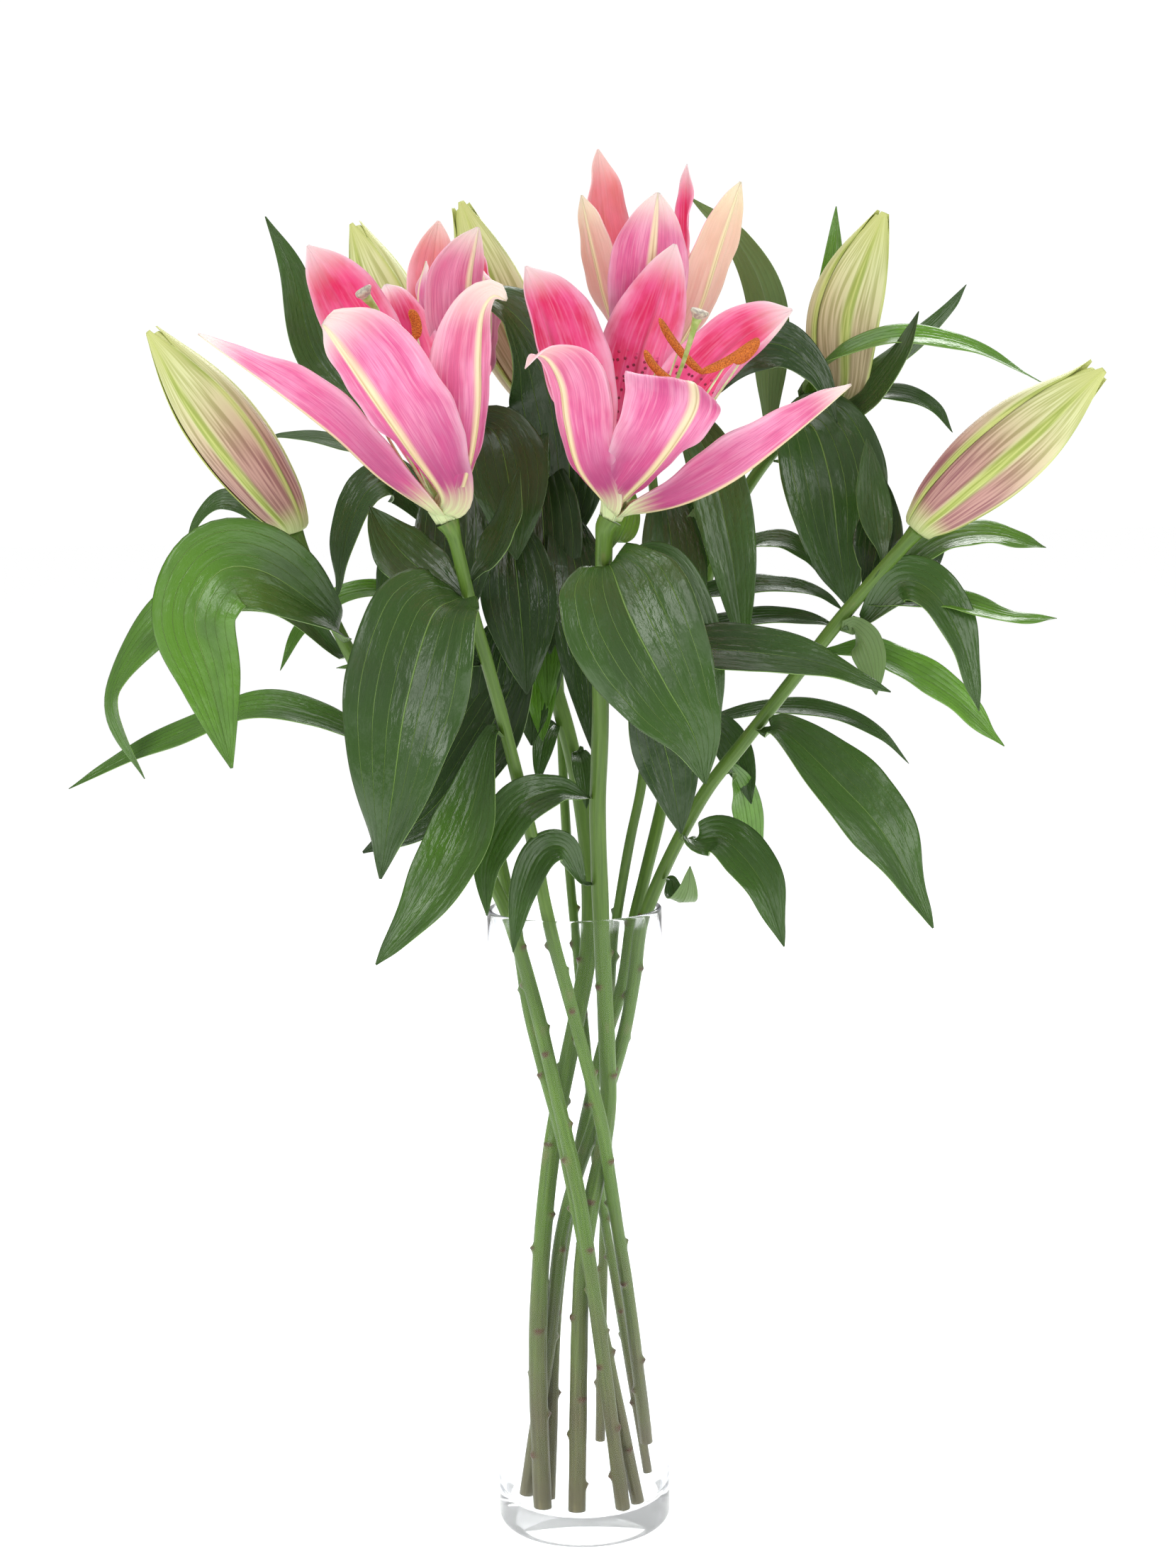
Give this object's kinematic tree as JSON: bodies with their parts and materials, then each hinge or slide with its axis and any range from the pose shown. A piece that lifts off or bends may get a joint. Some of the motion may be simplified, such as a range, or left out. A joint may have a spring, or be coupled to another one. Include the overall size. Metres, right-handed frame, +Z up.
{
  "type": "vase of cut lilies",
  "caption": "Bouquet of cut pink lilies, with open blooms, closed buds and long leaves, standing in a tall clear glass cylinder vase.",
  "frame": {"origin": "centre of the vase's underside", "axes": "+Z up along the vase, +X to the right and -Y towards the viewer who faces the two open blooms"},
  "size_m": [0.5352, 0.2447, 0.7272],
  "materials": {
    "glass": "gloss",
    "stem": "satin",
    "leaf": "satin",
    "bud": "satin",
    "petal": "satin",
    "pollen": "matte"
  },
  "bodies": {
    "root": {"vase": "glass", "green_bud_stem": "stem", "hidden_bloom_stem": "stem", "left_bloom_stem": "stem", "left_bud_stem": "stem", "pale_bud_stem": "stem", "right_bloom_stem": "stem", "right_bud_stem": "stem", "top_bloom_stem": "stem", "upper_bud_stem": "stem", "green_bud": "bud", "left_bud": "bud", "pale_bud": "bud", "right_bud": "bud", "upper_bud": "bud", "hidden_bloom_petal_back": "petal", "hidden_bloom_petal_left": "petal", "hidden_bloom_petal_right": "petal", "hidden_bloom_sepal_back": "petal", "hidden_bloom_sepal_front": "petal", "hidden_bloom_sepal_right": "petal", "left_bloom_petal_back": "petal", "left_bloom_petal_front": "petal", "left_bloom_petal_right": "petal", "left_bloom_sepal_back": "petal", "left_bloom_sepal_front": "petal", "left_bloom_sepal_left": "petal", "right_bloom_petal_front": "petal", "right_bloom_petal_left": "petal", "right_bloom_petal_right": "petal", "right_bloom_sepal_back": "petal", "right_bloom_sepal_front": "petal", "right_bloom_sepal_right": "petal", "top_bloom_petal_front": "petal", "top_bloom_petal_left": "petal", "top_bloom_petal_right": "petal", "top_bloom_sepal_back": "petal", "top_bloom_sepal_left": "petal", "top_bloom_sepal_right": "petal", "left_bloom_stamens": "pollen", "right_bloom_stamens": "pollen", "leaf_back_dark": "leaf", "leaf_back_left": "leaf", "leaf_centre_front": "leaf", "leaf_left_arching": "leaf", "leaf_left_dark": "leaf", "leaf_left_drooping": "leaf", "leaf_left_front": "leaf", "leaf_left_long": "leaf", "leaf_left_outer": "leaf", "leaf_right_bright": "leaf", "leaf_right_drooping": "leaf", "leaf_right_front": "leaf", "leaf_right_level": "leaf", "leaf_right_upper": "leaf", "leaf_rim_left": "leaf", "leaf_rim_right": "leaf", "leaf_upper_bright": "leaf", "leaf_upper_hanging": "leaf", "leaf_upper_pale": "leaf"}
  },
  "joints": []
}
